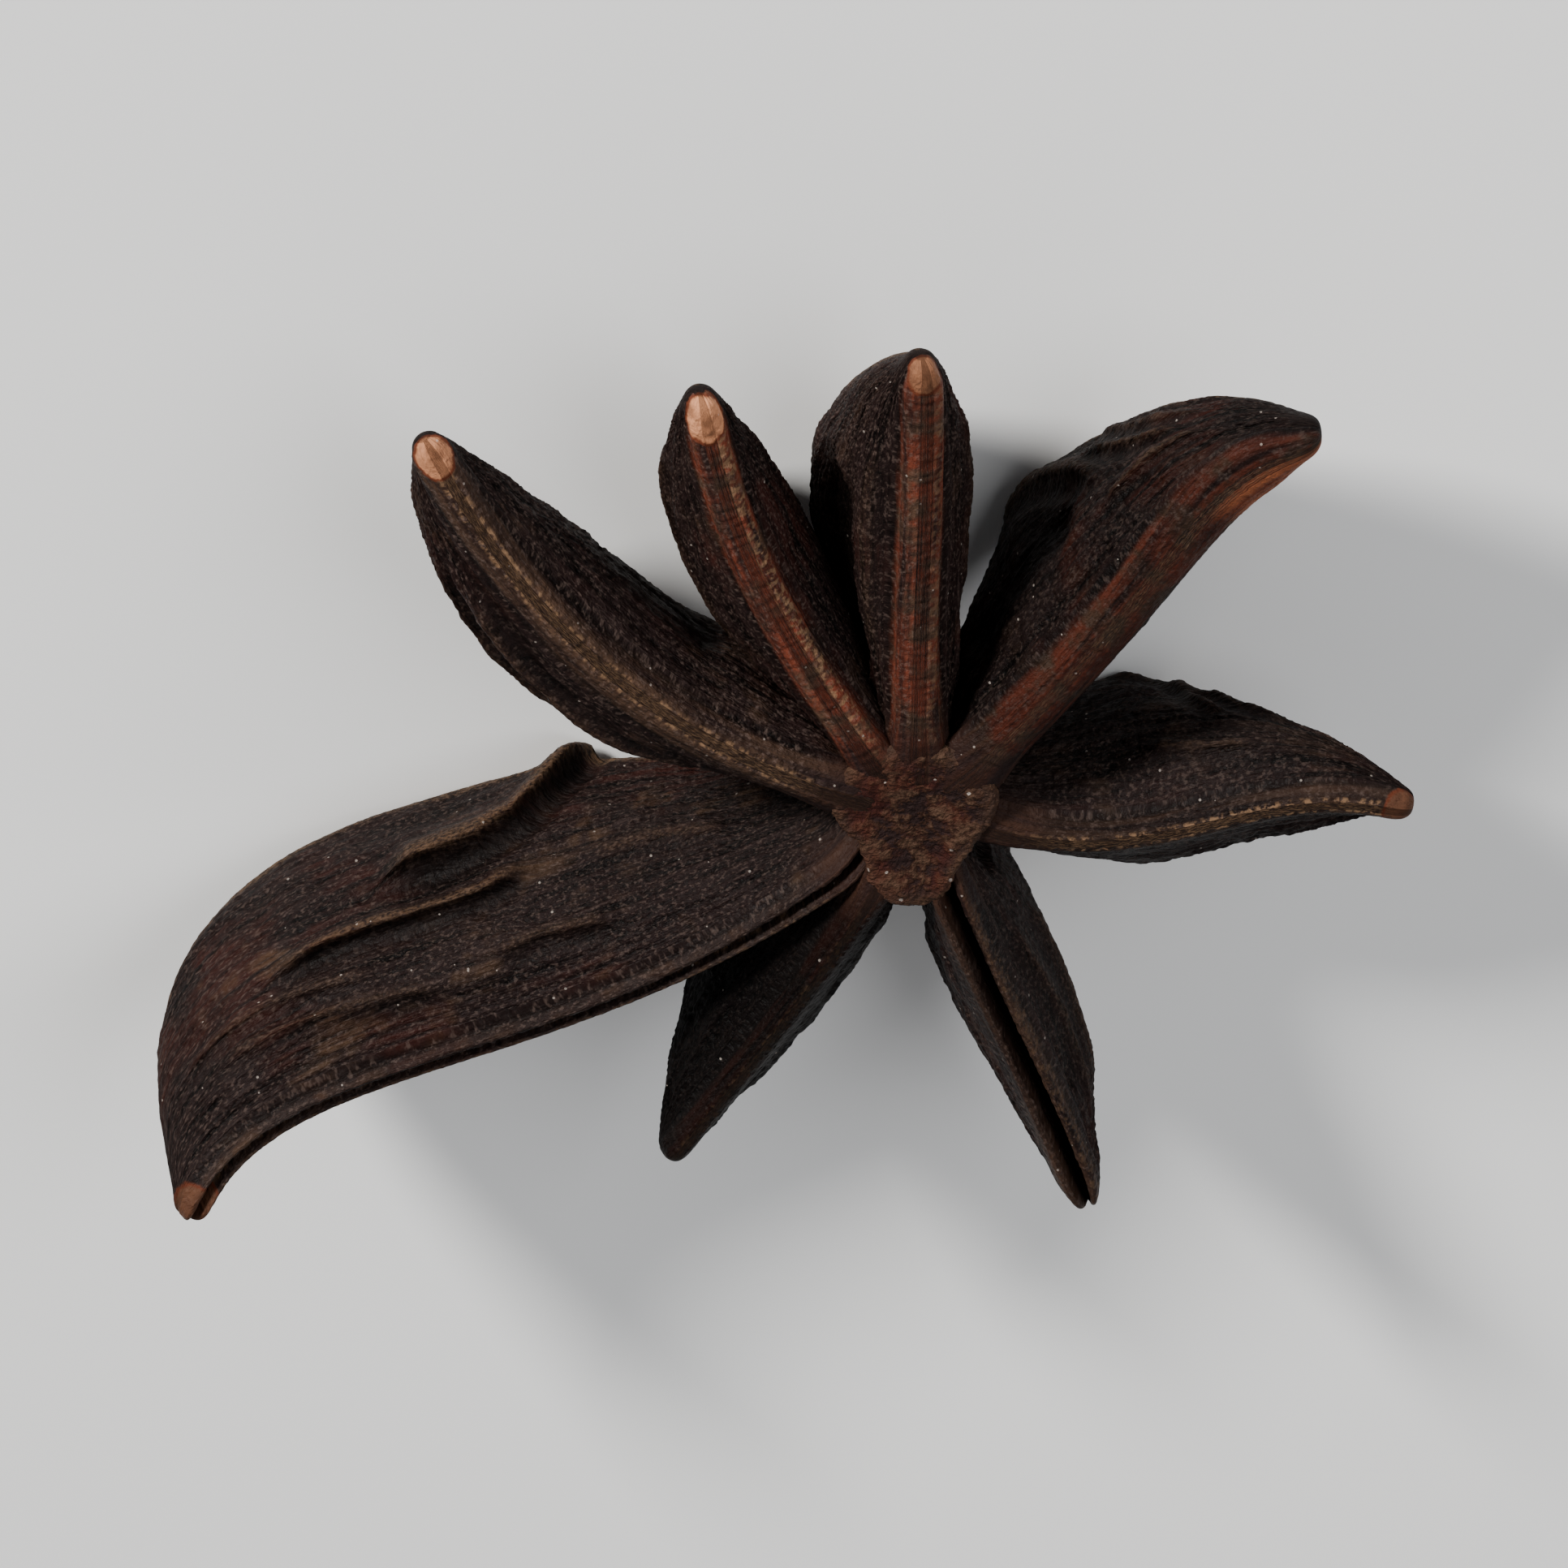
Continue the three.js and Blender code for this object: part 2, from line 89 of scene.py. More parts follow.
carpels = {
    "carpelRight": dict(
        azimuth=1, length=12.3, depth=7.2, width=3.9, roll=-8, bend=-0.3, twist=-0.75, arch=-0.2, beak=0.1,
        belly=0.4, blunt=1.05, end=0.9, gap=0.02, band=0.62, seam="soft", scar=(-0.05, 0.5, 0.6), pale=0.12,
        beads=(0, 0.26, 0.8), shade=0.44, lip="tan", lipMix=0.45, red=0.15, ochre=0.15,
        folds=[
            dict(side=1, height=0.12, back=0.35, front=0.28, crease=0.1,
                 path=[(0.34, 0.93), (0.45, 0.9), (0.55, 0.8), (0.64, 0.76)]),
            dict(side=1, height=0.14, front=0.26, crease=0.14,
                 path=[(0.5, 0.86), (0.57, 0.66), (0.64, 0.52)]),
            dict(side=1, height=0.12, front=0.26, crease=0.12,
                 path=[(0.58, 0.82), (0.68, 0.7), (0.76, 0.62)]),
            dict(side=1, height=0.12, crease=0.12, path=[(0.46, 0.27), (0.6, 0.25), (0.72, 0.26)]),
            dict(side=1, height=-0.15, back=1.6, front=0.9, dark=0.35,
                 path=[(0.1, 0.5), (0.27, 0.5), (0.42, 0.6)]),
        ],
    ),
    "carpelWedge": dict(
        azimuth=51.5, length=15.6, depth=7.2, width=3.5, roll=6, bend=2.0, hook=-2.0, arch=0.3, beak=-0.2,
        belly=0.4, blunt=1.5, end=1.4, gap=0.02, band=1.0, seam="soft", torn=1, taper=-0.25, pale=0,
        beads=(0, 0.2, 0.35), shade=0.36, lip="red", lipMix=0.85, red=0.8, ochre=0.12,
        folds=[
            dict(side=1, height=0.24, back=0.6, front=0.4, crease=0.15,
                 path=[(0.3, 0.88), (0.36, 0.88), (0.42, 0.86), (0.49, 0.79), (0.6, 0.645), (0.66, 0.49)]),
            dict(side=1, height=-0.45, back=1.4, front=0.9, dark=0.7,
                 path=[(0.18, 0.4), (0.33, 0.5), (0.45, 0.48), (0.58, 0.42)]),
            dict(side=1, height=0.16, crease=0.14, path=[(0.62, 0.74), (0.74, 0.6), (0.84, 0.52)]),
            dict(side=1, height=0.18, back=0.35, crease=0.14,
                 path=[(0.66, 0.34), (0.78, 0.4), (0.88, 0.42)]),
            dict(side=1, height=0.12, crease=0.1, path=[(0.62, 0.9), (0.76, 0.74), (0.88, 0.66)]),
            dict(side=-1, height=0.2, crease=0.1, path=[(0.8, 0.2), (0.9, 0.3), (0.98, 0.35)]),
        ],
    ),
    "carpelBack": dict(
        azimuth=89, length=14.9, depth=7.05, width=3.8, roll=17, bend=0.1, arch=0.1, beak=0.1, belly=0.5,
        blunt=1.35, end=1.1, gap=0.01, band=1.15, seam="closed", scar=(-0.05, 0.6, 0.55), pale=0.42,
        beads=(-0.35, 0.2, 0.3), shade=0.72, lip="red", lipMix=0.9, red=0.3, ochre=0.1,
        folds=[
            dict(side=1, height=-0.65, back=1.3, front=0.75, dark=0.9,
                 path=[(0.22, 0.3), (0.4, 0.33), (0.55, 0.36), (0.7, 0.4)]),
            dict(side=1, height=0.1, crease=0.1, path=[(0.3, 0.15), (0.6, 0.17), (0.85, 0.2)]),
            dict(side=-1, height=0.14, back=0.4, front=0.3, crease=0.08, path=[(0.35, 0.3), (0.85, 0.36)]),
        ],
    ),
    "carpelBackLeft": dict(
        azimuth=119.5, length=14.6, depth=7.1, width=3.3, roll=12, bend=-2.1, twist=-0.05, arch=0.15,
        beak=0.1, belly=0.46, blunt=1.3, end=1.1, gap=0.01, band=1.05, seam="closed",
        scar=(0.2, 0.75, 0.62), pale=0.95, beads=(-0.3, 0.25, 0.7), shade=0.78, lip="red", lipMix=0.95,
        red=0.4, ochre=0.12,
        folds=[
            dict(side=1, height=0.18, back=0.4, front=0.3, crease=0.12,
                 path=[(0.3, 0.4), (0.6, 0.5), (0.9, 0.5)]),
            dict(side=-1, height=-0.2, back=1.2, front=0.6, dark=0.1, path=[(0.28, 0.5), (0.5, 0.62)]),
        ],
    ),
    "carpelCurved": dict(
        azimuth=150.7, length=16.6, depth=7.15, width=4.0, roll=20, bend=-4.6, arch=0.5, beak=0, belly=0.5,
        blunt=1.35, end=1.0, gap=0.01, band=0.85, seam="soft", taper=0.15, scar=(-0.05, 0.6, 0.55),
        pale=0.75, beads=(0, 0.28, 0.7), shade=0.78, lip="tan", lipMix=0.75, red=0.15, ochre=0.2,
        folds=[
            dict(side=1, height=0.18, back=0.25, front=0.22, crease=0.24,
                 path=[(0.25, 0.3), (0.5, 0.24), (0.8, 0.2)]),
            dict(side=1, height=0.2, crease=0.24, path=[(0.3, 0.46), (0.55, 0.42), (0.85, 0.38)]),
            dict(side=1, height=0.16, crease=0.18, path=[(0.4, 0.66), (0.6, 0.62), (0.85, 0.6)]),
            dict(side=-1, height=-0.15, back=1.8, front=1.6, dark=0.9,
                 path=[(0.34, 0.38), (0.45, 0.46), (0.55, 0.44), (0.64, 0.5)]),
        ],
    ),
    "carpelLong": dict(
        azimuth=223, length=21.1, depth=7.6, width=4.2, roll=-22, bend=-7.7, hook=3.4, twist=0.1, arch=-0.2,
        beak=2.2, belly=0.62, blunt=4.0, end=1.0, gap=0.04, slit=2.2, band=0.75, seam="open", taper=0,
        dip=0.8, scar=(0.05, 0.65, 0.8), pale=0.1, beads=(0.3, 0.14, 0.3), shade=0.54, lip="grey",
        lipMix=0.4, red=0.5, ochre=0.4,
        folds=[
            dict(side=-1, height=0.75, back=0.9, crease=0.35,
                 path=[(0.38, 1.02), (0.41, 0.9), (0.445, 0.78), (0.485, 0.69),
                       (0.545, 0.63), (0.615, 0.61), (0.69, 0.61)]),
            dict(side=-1, height=0.45, back=0.4, front=0.2, crease=0.3,
                 path=[(0.48, 0.5), (0.51, 0.47), (0.55, 0.44), (0.6, 0.43),
                       (0.66, 0.435), (0.73, 0.445), (0.82, 0.45)]),
            dict(side=-1, height=0.16, front=0.22, crease=0.2,
                 path=[(0.39, 0.24), (0.48, 0.26), (0.56, 0.24)]),
            dict(side=-1, height=0.14, back=0.24, front=0.22, crease=0.12,
                 path=[(0.62, 0.2), (0.75, 0.24), (0.9, 0.3)]),
            dict(side=-1, height=0.14, back=0.24, front=0.22, crease=0.12,
                 path=[(0.7, 0.3), (0.82, 0.36), (0.93, 0.42)]),
            dict(side=-1, height=0.14, back=0.4, front=0.3, crease=0.1,
                 path=[(0.2, 0.45), (0.3, 0.5), (0.4, 0.48)]),
            dict(side=1, height=0.26, back=0.6, front=0.4, crease=0.1, path=[(0.3, 0.5), (0.8, 0.6)]),
        ],
    ),
    "carpelShaded": dict(
        azimuth=243.5, length=12.5, depth=7.05, width=3.5, roll=-6, bend=-0.6, arch=0, beak=0.2, belly=0.46,
        blunt=1.8, end=1.0, gap=0.01, band=0.6, seam="soft", dip=0.3, pale=0, beads=(0, 0.2, 0.2),
        shade=0.1, lip="red", lipMix=0.4, red=0.15, ochre=0.05,
        folds=[
            dict(side=1, height=0.2, back=0.5, front=0.4, crease=0.1, path=[(0.3, 0.35), (0.85, 0.5)]),
            dict(side=-1, height=-0.2, back=0.8, front=0.6, dark=0.5, path=[(0.35, 0.55), (0.9, 0.62)]),
        ],
    ),
    "carpelSlit": dict(
        azimuth=289.5, length=13.2, depth=7.1, width=2.9, roll=-5, bend=-0.1, twist=-0.05, arch=0, beak=0.2,
        belly=0.46, blunt=1.8, end=1.1, gap=0.11, slit=3.0, band=0.85, seam="open", taper=0, dip=0.5,
        pale=0, beads=(0.45, 0.2, 0.2), shade=0.6, lip="tan", lipMix=0.5, red=0.15, ochre=0.1,
        folds=[
            dict(side=1, height=0.12, crease=0.12, path=[(0.3, 0.2), (0.6, 0.24), (0.85, 0.3)]),
            dict(side=1, height=-0.4, back=0.9, front=0.6, dark=0.8, path=[(0.03, 0.36), (0.2, 0.4)]),
            dict(side=1, height=0.2, back=0.5, front=0.4, crease=0.1, path=[(0.35, 0.42), (0.85, 0.46)]),
            dict(side=-1, height=0.2, back=0.5, front=0.4, crease=0.1, path=[(0.35, 0.5), (0.9, 0.6)]),
        ],
    ),
}

# Relief of the dried skin. Every height is the full range of its noise.
skinRelief = {
    "crumple": 0.26 * mm,
    "crumpleWidth": 1.5 * mm,
    "wrinkle": 0.27 * mm,
    "wrinkleWidth": 0.21,  # the widths without a unit are in mm across the carpel
    "grain": 0.08 * mm,
    "grainWidth": 0.13 * mm,
    "stitch": 0.12 * mm,
    "stitchWidth": 0.16,
    "stretch": 0.045,  # along the carpel the wrinkles change this much slower than across it
    "creaseGap": 1.3,  # a fold's crease lies this many fold fronts away from its crest
    "creaseWidth": 0.9,  # and is this many wide
    "reliefUnit": 0.2 * mm,  # the attribute relief is 1 at this height
}

# The column: a stub of stalk, a waist between the carpels, and a dished plateau on top
columnShape = {
    "sides": 72,
    "stalk": 1.15 * mm,
    "foot": [(0.96, 0.0), (1.0, 0.5), (1.05, 1.3)],  # share of the stalk, height in mm
    "waist": [(1.3, 2.4), (1.3, 3.4), (0.85, 4.8), (0.92, 6.2)],  # share of the rim, height in mm
    "waistRim": 1.95 * mm,
    "dish": [
        (1.02, -0.35), (1.03, -0.08), (0.97, 0.07), (0.85, 0.10), (0.6, 0.0), (0.35, -0.06), (0.12, -0.08),
    ],
    "crumple": 0.24 * mm,
    "crumpleWidth": 0.9 * mm,
    "grain": 0.13 * mm,
    "grainWidth": 0.25 * mm,
    # how far the rim reaches, in mm, at angles anticlockwise from +X
    "rim": [
        (0, 1.85), (20, 2.15), (45, 2.5), (60, 2.7), (75, 2.6), (90, 2.7), (105, 2.65), (120, 2.7),
        (135, 2.55), (152, 2.5), (170, 2.2), (188, 1.8), (205, 1.6), (225, 1.85), (240, 2.35),
        (255, 2.65), (270, 2.7), (285, 2.55), (298, 1.95), (312, 1.65), (335, 1.6), (350, 1.7),
    ],
}

palette = {
    # crease is the near black of painted shade, and crest the painted highlight of raised skin
    "crease": (0.0026, 0.0016, 0.0014),
    "husk": (0.0158, 0.0084, 0.0076),
    "crest": (0.062, 0.040, 0.035),
    "granule": (0.155, 0.106, 0.087),
    "red": (0.058, 0.0125, 0.0075),
    "ochre": (0.150, 0.082, 0.042),
    "tan": (0.062, 0.034, 0.021),
    "redBand": (0.150, 0.036, 0.019),
    "greyBand": (0.042, 0.029, 0.024),
    "bead": (0.20, 0.115, 0.062),
    "scar": (0.50, 0.215, 0.108),
    "scarBase": (0.060, 0.025, 0.0145),
    "scarRim": (0.100, 0.026, 0.012),
    "tornSkin": (0.200, 0.062, 0.026),
    "plateau": (0.029, 0.0128, 0.0080),
    # speck is for pale flecks, partly painted glints
    "speck": (0.38, 0.33, 0.29),
}
bandColours = {"tan": "tan", "red": "redBand", "grey": "greyBand"}
specularLevel = 0.06

# How strongly each layer of colour shows, as a share. The layers of crests, fold crests, dark
# creases and the keel are painted highlight and shade, and the specks are partly painted glints.
mixShares = {
    "crest": 0.75, "granule": 0.36, "paintedCrestHighlight": 0.5, "torn": 0.9, "dark": 0.9, "keel": 0.8,
    "hub": 0.85, "speck": 0.4, "columnRed": 0.45, "columnRim": 0.4, "columnSpeck": 0.6,
}
toneNoise = {"Grain": 6.0, "Fine": 4.0}  # how much each noise adds to the relief, for the tone

# Noises on the unrolled skin, with their features to the mm along the carpel and across it
strandNoises = {
    "grain": {"Along": 0.2, "Across": 4.4, "Detail": 4.0},
    "fine": {"Along": 3.6, "Across": 8.5, "Detail": 3.0},
    "dots": {"Along": 7.0, "Across": 13.0, "Detail": 2.0},
    "bead": {"Along": 5.0, "Across": 5.5, "Detail": 2.0},
}

# Soft patches: size in mm, where the noise starts to show and where it is full, and a shift
patches = {
    "red": {"Size": 3.2, "Low": 0.50, "High": 0.66, "Shift": 0.0},
    "ochre": {"Size": 2.1, "Low": 0.55, "High": 0.70, "Shift": 1.0},
    "band": {"Size": 1.0, "Low": 0.36, "High": 0.56, "Shift": 6.0},
    "scar": {"Size": 0.45, "Low": 0.36, "High": 0.62, "Shift": 2.0},
    "coarse": {"Size": 0.55, "Low": 0.30, "High": 0.70, "Shift": 3.0},
    "fine": {"Size": 0.16, "Low": 0.25, "High": 0.75, "Shift": 4.0},
    "columnRed": {"Size": 1.6, "Low": 0.48, "High": 0.66, "Shift": 5.0},
}

# Specks: the cell in mm, their size as a share of it, and the share of cells that has one
speckShapes = {
    "husk": {"Cell": 0.36, "Size": 0.10, "Share": 0.2},
    "column": {"Cell": 0.42, "Size": 0.14, "Share": 0.12},
}

view = {
    "tilt": 40,  # the camera stands this far from straight above, on the +Y side
    "focal": 900,
    "sensor": 36,
    "frameWidth": 40 * mm,
    "aim": (-3.4 * mm, 1.1 * mm),  # in the picture, from the top of the column
}

lamps = {
    "keyLight": dict(place=(-0.36, 0.42, 0.24), size=0.12, power=7.4, colour=(1.0, 0.98, 0.95)),
    "topFill": dict(place=(0.35, 0.30, 0.45), size=0.5, power=2.8, colour=(0.97, 0.98, 1.0)),
    "frontFill": dict(place=(0.25, -0.40, 0.25), size=0.5, power=0.5, colour=(1.0, 0.97, 0.94)),
}
skyStrength = 0.23
skyColour = (0.93, 0.95, 1.0)


def smooth(x):
    x = np.clip(x, 0.0, 1.0)
    return x * x * (3 - 2 * x)


def swell(along, root, belly, blunt):
    # grows from root to 1 at the belly, then falls to 0 at the end, the later the blunter
    if along < belly:
        return root + (1 - root) * math.sin(along / belly * math.pi / 2)
    past = min((along - belly) / (1 - belly), 1)
    return (1 - past ** blunt) ** (1 / (0.6 + 0.35 * blunt))


def runOf(values):
    return values["length"] * mm - pod["root"]


def halfWidth(values, along):
    spare = values["width"] * mm / 2 - pod["tipHalf"]
    widest = values["belly"] + pod["widthLag"]
    return pod["tipHalf"] + spare * swell(along, pod["rootWidth"], widest, pod["widthBlunt"])


def depthAt(values, along):
    end = values["end"] * mm
    full = values["depth"] * mm - end
    return end + full * swell(along, pod["rootDepth"], values["belly"], values["blunt"])


def bandScale(values, along):
    # the band is wider at the column, tapers from 0.45 of the length on, and stays inside the carpel
    near = 1 - float(smooth(along * runOf(values) / pod["flareReach"]))
    half = (section["bandHalf"] * values["band"] + values["gap"]) * mm
    scale = 1 + pod["flare"] * near * (values["seam"] != "open")
    scale -= values["taper"] * float(smooth((along - 0.45) / 0.5))
    room = 0.95 * halfWidth(values, max(along, 0.08))
    return min(scale, room / half)


def swayAt(values, along):
    # sideways: bend grows slowly, hook acts near the end, and twist swings to and fro
    out = np.maximum(along, 0)
    curve = values["bend"] * out ** 2.5 + values["hook"] * out ** 8
    return (curve + values["twist"] * np.sin(along * 5.2)) * mm


def liftAt(values, along):
    # upwards: arch is highest in the middle and beak at the end, and dip is at the root
    out = np.minimum(along, 1)
    near = 1 - smooth(along * runOf(values) / pod["rootReach"])
    arch = values["arch"] * np.sin(math.pi * out)
    return (arch + values["beak"] * np.maximum(out, 0) ** 5 - values["dip"] * near) * mm


def seamPlaces(values, along):
    # where the seam runs, in the pod's frame
    x, y = pod["root"] + along * runOf(values), swayAt(values, along)
    turn = math.radians(values["azimuth"])
    return np.c_[
        x * math.cos(turn) - y * math.sin(turn), x * math.sin(turn) + y * math.cos(turn),
        pod["seamHeight"] + liftAt(values, along)]


def deselectAll():
    if bpy.context.object and bpy.context.object.mode != "OBJECT":
        bpy.ops.object.mode_set(mode="OBJECT")
    bpy.ops.object.select_all(action="DESELECT")


def makeActive(piece):
    deselectAll()
    piece.select_set(True)
    bpy.context.view_layer.objects.active = piece


def pick(piece, test):
    # selects the points that pass the test, in edit mode
    form = bmesh.from_edit_mesh(piece.data)
    form.verts.ensure_lookup_table()
    for point in form.verts:
        point.select = bool(test(point, form))
    form.select_mode = {"VERT"}
    form.select_flush_mode()
    bmesh.update_edit_mesh(piece.data, loop_triangles=False, destructive=False)


def applyModifier(piece, kind, **settings):
    makeActive(piece)
    bpy.ops.object.modifier_add(type=kind)
    modifier = piece.modifiers[-1]
    for key, value in settings.items():
        setattr(modifier, key, value)
    bpy.ops.object.modifier_apply(modifier=modifier.name)


def flankShare(down):
    # how far the flank stands out, as a share of the half width. 0.85 puts the fullest place
    # just above the middle, and 0.62 makes it blunt.
    return math.sin(math.pi * down ** 0.85) ** 0.62


def sectionPoints(values):
    # (across, down, isLip) from just beside the slit to just beside the keel
    points = []
    for across, down in section[values["seam"]]:
        points.append(((values["gap"] + across * values["band"]) * mm, down * mm, True))
    for i in range(1, section["flankPoints"] + 1):
        # the last point is half a step short of the keel, and the curve's own ends are left out
        down = i / (section["flankPoints"] + 0.5)
        points.append((flankShare(0.10 + 0.88 * down), down, False))
    return points


def drawRing(name, values):
    # the first ring: a circle whose points are moved in pairs, left and right alike. Each point
    # gets its down, from 0 at the slit to 1 at the keel.
    side = sectionPoints(values)
    lips, lipShare = len(section[values["seam"]]), section["lipShare"]
    count = 2 * len(side) + 2
    deselectAll()
    bpy.ops.mesh.primitive_circle_add(vertices=count, radius=mm, fill_type="NOTHING")
    piece = bpy.context.object
    piece.name = piece.data.name = name
    bpy.ops.object.mode_set(mode="EDIT")
    form = bmesh.from_edit_mesh(piece.data)
    for layer in ("along", "down", "side", "station"):
        form.verts.layers.float.new(layer)
    bmesh.update_edit_mesh(piece.data)
    half, depth = halfWidth(values, 0), depthAt(values, 0) - section["neck"]
    for i in range(count):
        turned = i > count // 2
        j = count - i if turned else i
        if j == 0:
            across, down, deep = 0, values["slit"] * mm, 0
        elif j == count // 2:
            across, down, deep = 0, depth + section["neck"], 1
        else:
            across, down, onLip = side[j - 1]
            deep = lipShare * j / lips if onLip else lipShare + (1 - lipShare) * down
            if not onLip:
                across, down = across * half, section["neck"] + depth * down
        across = -across if turned else across
        pick(piece, lambda point, form: point.index == i)
        form = bmesh.from_edit_mesh(piece.data)
        point = [p for p in form.verts if p.select][0]
        layers = form.verts.layers.float
        point[layers["down"]] = deep
        point[layers["side"]] = 0 if across == 0 else math.copysign(1, across)
        goal = Vector((pod["root"], across, -down))
        bpy.ops.transform.translate(value=goal - point.co)
    bpy.ops.object.mode_set(mode="OBJECT")
    return piece


def stationCount(values):
    return round(values["length"] * section["stationsPerMm"])


def stationsOf(values):
    # shares of the length, with two more beyond the end for the rounded nose
    count = stationCount(values)
    nose = [1 + beyond * mm / runOf(values) for beyond, shrink in pod["nose"]]
    return [i / count for i in range(count + 1)] + nose


def isFlank(point, form):
    return point.select and point[form.verts.layers.float["down"]] > section["bandEnd"]


def isLip(point, form):
    return point.select and not isFlank(point, form)


def markStation(piece, number, along):
    form = bmesh.from_edit_mesh(piece.data)
    layers = form.verts.layers.float
    for point in form.verts:
        if point.select:
            point[layers["station"]] = number
            point[layers["along"]] = along


def pickStation(piece, number):
    pick(piece, lambda point, form: round(point[form.verts.layers.float["station"]]) == number)


def drawOut(piece, values):
    # extrudes the ring from station to station, and lets the flank swell and shrink
    places = stationsOf(values)
    run = runOf(values)
    neck = section["neck"]
    makeActive(piece)
    bpy.ops.object.mode_set(mode="EDIT")
    bpy.ops.mesh.select_all(action="SELECT")
    bpy.ops.mesh.edge_face_add()
    markStation(piece, 0, 0)
    bpy.ops.mesh.select_all(action="DESELECT")
    pickStation(piece, 0)
    lastLip = 1
    for number in range(1, len(places)):
        before, along = places[number - 1], places[number]
        step = (along - before) * run
        past = number - stationCount(values)
        bpy.ops.mesh.extrude_region_move(TRANSFORM_OT_translate={"value": (step, 0, 0)})
        markStation(piece, number, along)
        x = pod["root"] + along * run
        if past > 0:
            heart = (x, 0, -depthAt(values, 1) / 2)
            shrink = pod["nose"][past - 1][1]
            bpy.ops.transform.resize(value=(1, shrink, shrink), center_override=heart)
            continue
        wide = halfWidth(values, along) / halfWidth(values, before)
        deep = (depthAt(values, along) - neck) / (depthAt(values, before) - neck)
        pick(piece, isFlank)
        bpy.ops.transform.resize(value=(1, wide, deep), center_override=(x, 0, -neck))
        pickStation(piece, number)
        lip = bandScale(values, along)
        if lip != lastLip:
            pick(piece, isLip)
            bpy.ops.transform.resize(value=(1, lip / lastLip, 1), center_override=(x, 0, 0))
            pickStation(piece, number)
        lastLip = lip
    bpy.ops.object.mode_set(mode="OBJECT")


def poseStations(piece, values):
    # turns and shifts each station so that the seam follows its own path. The roll sets in over
    # the inner 0.45 of the length, and the heading is taken over 0.02 of it.
    run = runOf(values)
    makeActive(piece)
    bpy.ops.object.mode_set(mode="EDIT")
    for number, along in enumerate(stationsOf(values)):
        roll = math.radians(values["roll"]) * float(smooth(along * 2.2))
        ahead = swayAt(values, along + 0.01) - swayAt(values, along - 0.01)
        heading = math.atan2(ahead, 0.02 * run)
        seam = (pod["root"] + along * run, 0, 0)
        pickStation(piece, number)
        bpy.ops.transform.rotate(value=-roll, orient_axis="X", center_override=seam)
        bpy.ops.transform.rotate(value=-heading, orient_axis="Z", center_override=seam)
        bpy.ops.transform.translate(value=(0, swayAt(values, along), liftAt(values, along)))
    bpy.ops.mesh.select_all(action="SELECT")
    bpy.ops.mesh.normals_make_consistent(inside=False)
    if bmesh.from_edit_mesh(piece.data).calc_volume(signed=True) < 0:
        bpy.ops.mesh.flip_normals()  # a deep slit can turn them all inwards
    bpy.ops.transform.rotate(
        value=-math.radians(values["azimuth"]), orient_axis="Z", center_override=(0, 0, 0))
    bpy.ops.transform.translate(value=(0, 0, pod["seamHeight"]))
    bpy.ops.object.mode_set(mode="OBJECT")


def readAttribute(piece, name):
    values = np.empty(len(piece.data.vertices), np.float32)
    piece.data.attributes[name].data.foreach_get("value", values)
    return values


def writeAttribute(piece, name, values):
    attributes = piece.data.attributes
    kept = attributes.get(name) or attributes.new(name, "FLOAT", "POINT")
    kept.data.foreach_set("value", np.asarray(values, np.float32))


def pointsOf(piece):
    places = np.empty(len(piece.data.vertices) * 3, np.float32)
    piece.data.vertices.foreach_get("co", places)
    return places.reshape(-1, 3)


def normalsOf(piece):
    normals = np.empty(len(piece.data.vertices) * 3, np.float32)
    piece.data.vertex_normals.foreach_get("vector", normals)
    return normals.reshape(-1, 3)


def addWeights(piece, name, weights):
    # weights in 60 steps, so that each step is one call
    group = piece.vertex_groups.new(name=name)
    levels = np.round(np.clip(weights, 0, 1) * 60).astype(int)
    for level in range(1, 61):
        points = np.nonzero(levels == level)[0].tolist()
        if points:
            group.add(points, level / 60, "REPLACE")
    return group.name


def skinDepth(values, along):
    # the height of the unrolled skin, in mm
    return 0.5 * depthAt(values, along) / mm + 0.5 * values["depth"]


def skinPlaces(piece, values):
    # where each point lies on the unrolled skin, in mm: along the seam, and down from it
    along, down = readAttribute(piece, "along"), readAttribute(piece, "down")
    grid = np.linspace(0, 1, 101)
    depth = np.array([skinDepth(values, a) for a in grid])
    return along * values["length"], down * np.interp(along, grid, depth)


def foldWeights(piece, values, fold):
    # weights of the fold's crest and of the crease beside it
    x, y = skinPlaces(piece, values)
    side = readAttribute(piece, "side")
    path = [np.array((a * values["length"], d * skinDepth(values, a))) for a, d in fold["path"]]
    nearest = np.full(len(x), 1e9)
    beside, reach = np.zeros(len(x)), np.zeros(len(x))
    total = sum(np.linalg.norm(b - a) for a, b in zip(path, path[1:]))
    done = 0
    for a, b in zip(path, path[1:]):
        span = b - a
        size = np.linalg.norm(span)
        share = np.clip(((x - a[0]) * span[0] + (y - a[1]) * span[1]) / size ** 2, 0, 1)
        apart = np.hypot(x - a[0] - share * span[0], y - a[1] - share * span[1])
        turned = np.sign((y - a[1]) * span[0] - (x - a[0]) * span[1])
        closer = apart < nearest
        nearest = np.where(closer, apart, nearest)
        beside = np.where(closer, apart * turned, beside)
        reach = np.where(closer, (done + share * size) / total, reach)
        done += size
    # both ends of the fold fade
    ends = smooth(reach * 5 + 0.25) * smooth((1 - reach) * 4 + 0.25) * (side * fold["side"] > 0.5)
    spread = np.where(beside > 0, fold["back"], fold["front"])
    crest = np.exp(-((beside / spread) ** 2)) * ends
    offset = beside + skinRelief["creaseGap"] * fold["front"]
    crease = np.exp(-((offset / (skinRelief["creaseWidth"] * fold["front"])) ** 2)) * ends
    return crest, crease


